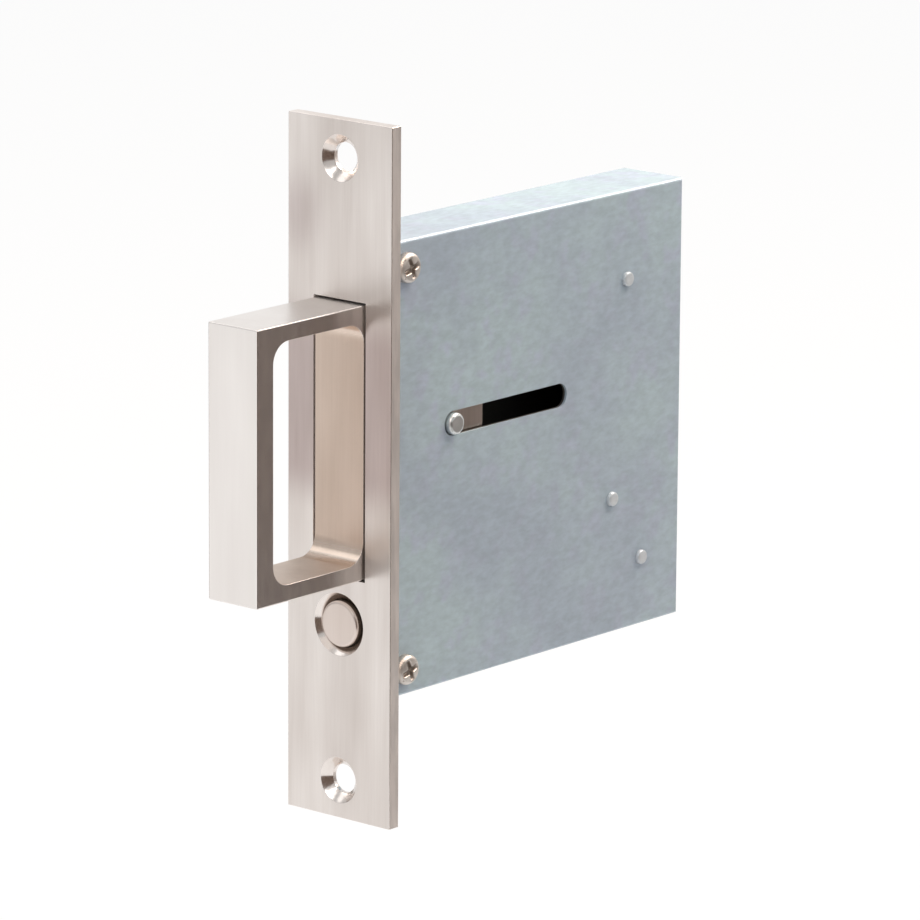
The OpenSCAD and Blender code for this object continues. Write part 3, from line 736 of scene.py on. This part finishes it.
def wind_coil(name, node, wire, turns, material):
    """A compression spring of round wire in the place of a CAD spring, on the case's body."""
    low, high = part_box(node)
    line = coil_line(low, high, wire, turns)
    piece = add_mesh(name, *tube(line, wire / 2, WIRE_SIDES, (0.0, 1.0, 0.0)), material)
    stand_for(piece, node, "case")
    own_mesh(piece)


def wind_latch_coil(material):
    """The pawl's spring: a coil about the pivot, a leg back to the case and a leg under the pawl's arm.

    The coil is y = py + R cos a and z = pz + R sin a, with a falling from 270 degrees by one turn for each
    pitch along X, and it twists between the case and the pawl.
    """
    low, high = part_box("latch_spring")
    half_wire = LATCH_WIRE / 2
    pivot = (PIVOT_LOW + PIVOT_HIGH) / 2
    tail_x = low.x + half_wire
    leg_x = tail_x + LATCH_TURNS * LATCH_PITCH
    under = low.z + half_wire
    hub_y = pivot.y - PAWL_HUB
    turn = np.linspace(0, LATCH_TURNS, LATCH_TURNS * TURN_STEPS + 1)
    angle = np.radians(270) - 2 * np.pi * turn
    coil = np.stack([tail_x + LATCH_PITCH * turn, pivot.y + LATCH_RADIUS * np.cos(angle),
                     pivot.z + LATCH_RADIUS * np.sin(angle)], axis=1)
    rear_leg = np.linspace((tail_x, high.y, coil[0, 2]), coil[0], 12, endpoint=False)
    front_leg = rounded_path(
        [coil[-1], (leg_x, hub_y, under + 1 * MM), (leg_x + 0.4 * MM, hub_y - 2 * MM, under),
         (high.x - half_wire, low.y, under)], reach=0.5 * MM, steps=6)
    line = np.concatenate([rear_leg, coil, front_leg[1:]])
    piece = add_mesh("latch_coil", *tube(line, half_wire, WIRE_SIDES, (1.0, 0.0, 0.0)), material)
    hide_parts("latch_spring")
    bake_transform(piece)


# Pieces


class EDGEPULL_OT_faceplate(bpy.types.Operator):
    """Finish the faceplate and the release button"""
    bl_idname = "edge_pull.faceplate"
    bl_label = "Faceplate"

    def execute(self, context):
        dress("faceplate", satin_nickel(), looks().edge)
        dress("release_button", button_nickel(), looks().edge)
        return {"FINISHED"}


class EDGEPULL_OT_pull(bpy.types.Operator):
    """Finish the pull and its guide pin"""
    bl_idname = "edge_pull.pull"
    bl_label = "Pull"

    def execute(self, context):
        dress("pull_handle", cast_nickel(), looks().pull_edge)
        dress("guide_pin", bright_steel(), PIN_EDGE)
        return {"FINISHED"}


class EDGEPULL_OT_case(bpy.types.Operator):
    """Finish the folded case, the posts across it and the rods inside it"""
    bl_idname = "edge_pull.case"
    bl_label = "Case"

    def execute(self, context):
        sheet = hot_dip_zinc()
        for name in ("case_tray", "case_cover"):
            dress(name, sheet, looks().sheet_edge)
        # The posts' paler zinc is a painted highlight
        plate = highlit_post_zinc()
        for name in ("upper_post", "pivot_post", "bar_post"):
            dress(name, plate, POST_EDGE)
        for name in ("spring_rod_upper", "spring_rod_lower"):
            dress(name, bright_steel())
        return {"FINISHED"}


class EDGEPULL_OT_works(bpy.types.Operator):
    """Finish the release bar, the latch, the sleeves and the lugs"""
    bl_idname = "edge_pull.works"
    bl_label = "Works"

    def execute(self, context):
        plated = plated_steel()
        for name in ("upper_lug", "lower_lug", "latch_pawl", "pivot_sleeves", "bar_sleeves"):
            dress(name, plated, WORKS_EDGE)
        dress("release_bar", milled_brass(), BAR_EDGE)
        dress("cross_pin", bright_steel(), BAR_EDGE)
        return {"FINISHED"}


class EDGEPULL_OT_springs(bpy.types.Operator):
    """Wind the springs as round wire"""
    bl_idname = "edge_pull.springs"
    bl_label = "Springs"

    def execute(self, context):
        wire = spring_wire()
        for side in ("upper", "lower"):
            wind_coil("ejector_coil_" + side, "ejector_spring_" + side, EJECTOR_WIRE, EJECTOR_TURNS,
                      wire)
        wind_coil("button_coil", "button_spring", BUTTON_WIRE, BUTTON_TURNS, wire)
        wind_latch_coil(wire)
        return {"FINISHED"}


class EDGEPULL_OT_screws(bpy.types.Operator):
    """Turn the two pan-head screws that hold the case to its lugs"""
    bl_idname = "edge_pull.screws"
    bl_label = "Case screws"

    def execute(self, context):
        head_d = SCREWS_HIGH.y - SCREWS_LOW.y
        head_h = SCREWS_HIGH.x - TRAY_HIGH.x
        shank_d = 3 * MM
        length = TRAY_HIGH.x - SCREWS_LOW.x
        cross_turn = math.radians(20)
        # Boxes of painted shade and dirt in the cross recesses
        dirt_and_shade_half = Vector((0.0, head_d / 3, head_d / 3))
        dirt_and_shade_top = Vector((0.84 * head_h, 0.0, 0.0))
        skins, recesses = [], []
        for height in (SCREWS_LOW.z + head_d / 2, SCREWS_HIGH.z - head_d / 2):
            place = Vector((TRAY_HIGH.x, (SCREWS_LOW.y + SCREWS_HIGH.y) / 2, height))
            skins.append(pan_screw(place, head_d, head_h, shank_d, length, cross_turn))
            recesses.append((place - dirt_and_shade_half, place + dirt_and_shade_half + dirt_and_shade_top))
        piece = add_mesh("pan_head_screws", *joined(skins), screw_nickel(recesses))
        stand_for(piece, "case_screws", "case")
        return {"FINISHED"}


class EDGEPULL_OT_stage(bpy.types.Operator):
    """Set up the floor, the room, the lights and the camera"""
    bl_idname = "edge_pull.stage"
    bl_label = "Studio"

    def execute(self, context):
        stage = context.scene.edge_pull_stage
        make_camera(stage)
        make_room(stage)
        make_floor()
        make_screens()
        make_lights(stage)
        context.scene.view_settings.view_transform = "Standard"
        return {"FINISHED"}


# Studio

WHITE = (1.0, 1.0, 1.0, 1.0)

# Aim of the camera on the part, and the shift of the view beside and above it
CAMERA_AIM = Vector((0.0, 27.5 * MM, 0.0))
CAMERA_SIDE = 2.763 * MM
CAMERA_RISE = -2.816 * MM

# Level of the mirrored room behind the part, and where it changes to the level in front, as a share along Y
ROOM_BEHIND = 0.94
ROOM_CHANGE = (-0.3, 0.6)

# Depth of the floor under the part, its half width, and the share by which it is lifted to white
FLOOR_DROP = 90 * MM
FLOOR_HALF = 4.0
FLOOR_LIFT = 0.92

# The dark screens stand at the part's right, from behind it to the camera's side, and at its left
SCREENS = {
    "right_screen": (math.radians(-62), math.radians(62)),
    "left_screen": (math.radians(158), math.radians(196)),
}
SCREEN_RADIUS = 0.34
SCREEN_LOW = -0.155
SCREEN_HIGH = 0.045
SCREEN_RISE = 0.1
SCREEN_FADE = (0.255, 0.3)
SCREEN_STEPS = 48

# Point that the lamps face
LAMP_AIM = Vector((0.0, 0.03, 0.0))


def make_camera(stage):
    """The camera looks along -back, with right and up turned by roll about it."""
    turn, lift, roll = stage.azimuth, stage.elevation, stage.roll
    back = Vector((math.sin(turn) * math.cos(lift), -math.cos(turn) * math.cos(lift), math.sin(lift)))
    right = Vector((math.cos(turn), math.sin(turn), 0.0))
    up = back.cross(right)
    place = CAMERA_AIM + back * stage.distance + right * CAMERA_SIDE + up * CAMERA_RISE
    rolled_right = math.cos(roll) * right + math.sin(roll) * up
    rolled_up = math.cos(roll) * up - math.sin(roll) * right
    camera = bpy.data.cameras.new("photo_camera")
    camera.lens = stage.lens
    holder = bpy.data.objects.new("photo_camera", camera)
    bpy.context.scene.collection.objects.link(holder)
    turned = Matrix((rolled_right, rolled_up, back)).transposed().to_4x4()
    holder.matrix_world = Matrix.Translation(place) @ turned
    bpy.context.scene.camera = holder


def seen_white(tree):
    """One where the camera, a reflection or a refraction looks, and zero for the light that spreads."""
    path = add_node(tree, "ShaderNodeLightPath")
    seen = add_node(tree, "ShaderNodeMath", {
        0: path.outputs["Is Camera Ray"], 1: path.outputs["Is Glossy Ray"]}, operation="MAXIMUM")
    seen = add_node(tree, "ShaderNodeMath", {
        0: seen.outputs["Value"], 1: path.outputs["Is Transmission Ray"]}, operation="MAXIMUM")
    return seen.outputs["Value"]


def make_room(stage):
    """A pale room: white to the camera, lower where metal mirrors it in front, lower still as even light."""
    world = bpy.data.worlds.new("pale_room")
    world.use_nodes = True
    tree = world.node_tree
    tree.nodes.clear()
    path = add_node(tree, "ShaderNodeLightPath")
    coords = add_node(tree, "ShaderNodeTexCoord")
    way = add_node(tree, "ShaderNodeSeparateXYZ", {"Vector": coords.outputs["Generated"]})
    mirrored = add_node(tree, "ShaderNodeMapRange", {
        "Value": way.outputs["Y"], "From Min": ROOM_CHANGE[0], "From Max": ROOM_CHANGE[1],
        "To Min": stage.mirrored, "To Max": ROOM_BEHIND})
    level = add_node(tree, "ShaderNodeMix", {
        "Factor": seen_white(tree), "A": stage.world, "B": mirrored.outputs["Result"]})
    level = add_node(tree, "ShaderNodeMix", {
        "Factor": path.outputs["Is Camera Ray"], "A": level.outputs[0], "B": 1.0})
    light = add_node(tree, "ShaderNodeBackground", {"Color": WHITE, "Strength": level.outputs[0]})
    add_node(tree, "ShaderNodeOutputWorld", {"Surface": light.outputs["Background"]})
    bpy.context.scene.world = world


def make_floor():
    """A matt white floor well below the part, lifted towards white where it is seen; it keeps shadows."""
    material, tree = new_material("white_floor")
    matt = add_node(tree, "ShaderNodeBsdfDiffuse", {"Color": opaque(linear("#f4f4f4"))})
    bright = add_node(tree, "ShaderNodeEmission", {"Color": WHITE, "Strength": 1.0})
    lift = add_node(tree, "ShaderNodeMath", {0: seen_white(tree), 1: FLOOR_LIFT}, operation="MULTIPLY")
    mixed = add_node(tree, "ShaderNodeMixShader", {
        0: lift.outputs["Value"], 1: matt.outputs["BSDF"], 2: bright.outputs["Emission"]})
    add_node(tree, "ShaderNodeOutputMaterial", {"Surface": mixed.outputs["Shader"]})
    corners = FLOOR_HALF * np.array([(-1, -1, 0), (1, -1, 0), (1, 1, 0), (-1, 1, 0)])
    height = CAD_BOX[0][2] - FLOOR_DROP
    floor = add_mesh("floor", corners + (0, 0, height), [np.arange(4)[None]], material)


def make_screens():
    """Dark curved screens beside the part, out of the camera's sight, that steep metal faces mirror.

    Their points are radius (cos a, sin a) about the part, at two heights of which the upper one rises
    towards the camera's side as -sin a, and they fade to grey towards the back.
    """
    material, tree = new_material("dark_screen")
    coords = add_node(tree, "ShaderNodeTexCoord")
    place = add_node(tree, "ShaderNodeSeparateXYZ", {"Vector": coords.outputs["Object"]})
    fade = add_node(tree, "ShaderNodeMapRange", {
        "Value": place.outputs["Y"], "From Min": SCREEN_FADE[0], "From Max": SCREEN_FADE[1]})
    tint = add_node(tree, "ShaderNodeMix", {
        "Factor": fade.outputs["Result"], COLOUR_A: opaque(linear("#665c57")),
        COLOUR_B: opaque(linear("#c0b8b4"))}, data_type="RGBA")
    dark = add_node(tree, "ShaderNodeBsdfDiffuse", {"Color": tint.outputs[COLOUR_OUT]})
    add_node(tree, "ShaderNodeOutputMaterial", {"Surface": dark.outputs["BSDF"]})
    for name, span in SCREENS.items():
        angle = np.linspace(*span, SCREEN_STEPS + 1)
        ring = np.stack([SCREEN_RADIUS * np.cos(angle), SCREEN_RADIUS * np.sin(angle), 0 * angle], axis=1)
        top = SCREEN_HIGH + SCREEN_RISE * np.clip(-np.sin(angle), 0, 1)
        points = np.concatenate([ring + (0, 0, SCREEN_LOW), ring + top[:, None] * (0, 0, 1)])
        low = np.arange(SCREEN_STEPS)
        high = low + len(ring)
        faces = np.stack([low + 1, low, high, high + 1], axis=1)
        screen = add_mesh(name, points, [faces], material)
        screen.visible_camera = False


def soft_light(name, place, size, power, colour=(1.0, 1.0, 1.0)):
    """A square softbox at a place, turned to face the part."""
    lamp = bpy.data.lights.new(name, "AREA")
    lamp.shape = "SQUARE"
    lamp.size = size
    lamp.energy = power
    lamp.color = colour
    holder = bpy.data.objects.new(name, lamp)
    bpy.context.scene.collection.objects.link(holder)
    holder.location = place
    holder.rotation_euler = (LAMP_AIM - Vector(place)).to_track_quat("-Z", "Y").to_euler()
    holder.visible_camera = False


def make_lights(stage):
    """A slightly warm softbox overhead, one high in front and a faint one at the upper left."""
    soft_light("overhead_softbox", (0.2, 0.5, 0.8), size=0.8, power=stage.overhead, colour=linear("#ffecdb"))
    soft_light("front_softbox", (0.1, -0.9, 0.8), size=0.7, power=stage.front)
    soft_light("left_softbox", (-0.69, -0.26, 0.82), size=0.5, power=stage.left)


# Add-on

STEPS = (EDGEPULL_OT_faceplate, EDGEPULL_OT_pull, EDGEPULL_OT_case, EDGEPULL_OT_works, EDGEPULL_OT_springs,
         EDGEPULL_OT_screws, EDGEPULL_OT_stage)


class EDGEPULL_PT_panel(bpy.types.Panel):
    """Edge pull: its sizes, colours and steps"""
    bl_idname = "EDGEPULL_PT_panel"
    bl_label = "Edge pull"
    bl_space_type = "VIEW_3D"
    bl_region_type = "UI"
    bl_category = "Edge pull"

    def draw(self, context):
        for group in (context.scene.edge_pull_looks, context.scene.edge_pull_stage):
            for name in group.__annotations__:
                self.layout.prop(group, name)
        for step in STEPS:
            self.layout.operator(step.bl_idname)


CLASSES = (EdgePullLooks, EdgePullStage, *STEPS, EDGEPULL_PT_panel)


def register():
    """Adds the classes, and the settings to the scene."""
    for cls in CLASSES:
        bpy.utils.register_class(cls)
    bpy.types.Scene.edge_pull_looks = bpy.props.PointerProperty(type=EdgePullLooks)
    bpy.types.Scene.edge_pull_stage = bpy.props.PointerProperty(type=EdgePullStage)


def unregister():
    """Takes the settings and the classes away again."""
    del bpy.types.Scene.edge_pull_looks
    del bpy.types.Scene.edge_pull_stage
    for cls in reversed(CLASSES):
        bpy.utils.unregister_class(cls)


def main():
    """Registers the add-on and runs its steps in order."""
    register()
    bpy.ops.edge_pull.faceplate()
    bpy.ops.edge_pull.pull()
    bpy.ops.edge_pull.case()
    bpy.ops.edge_pull.works()
    bpy.ops.edge_pull.springs()
    bpy.ops.edge_pull.screws()
    bpy.ops.edge_pull.stage()


if __name__ == "__main__":
    main()
